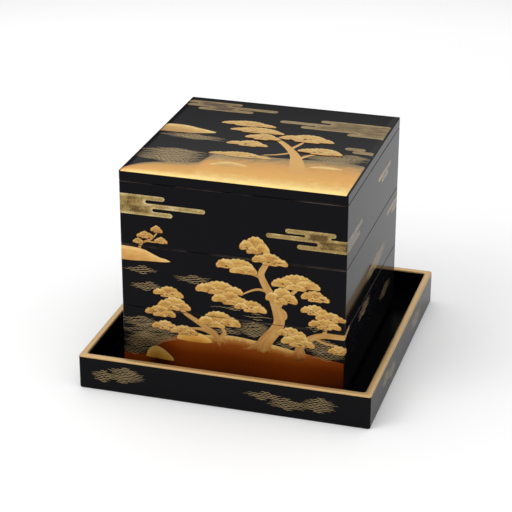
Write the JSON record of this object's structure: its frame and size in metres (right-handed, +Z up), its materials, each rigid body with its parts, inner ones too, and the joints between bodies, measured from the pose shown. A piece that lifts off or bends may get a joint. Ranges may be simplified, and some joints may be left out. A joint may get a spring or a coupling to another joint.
{
  "type": "tiered lacquered food box",
  "caption": "Square stacking food box with a flat lid, in black lacquer with a gold pine picture, on a shallow tray stand.",
  "frame": {"origin": "middle of the stand's underside", "axes": "+Z up through the lid; -Y is the front with the main picture; +X is the viewer's right"},
  "size_m": [0.255, 0.255, 0.1925],
  "materials": {
    "lid_lacquer": "polished black lacquer on wood, with a gold powder picture",
    "tier_lacquer": "polished black lacquer on wood, with a gold powder picture",
    "bottom_tier_lacquer": "polished black lacquer on wood, fading to red-brown at the foot of the picture",
    "stand_lacquer": "polished black lacquer on wood, with a gilded rim",
    "gold_powder": "gold powder strewn in lacquer and burnished"
  },
  "bodies": {
    "root": {"lid": "lid_lacquer", "top_tier": "tier_lacquer", "middle_tier": "tier_lacquer", "bottom_tier": "bottom_tier_lacquer", "stand_tray": "stand_lacquer"}
  },
  "joints": []
}
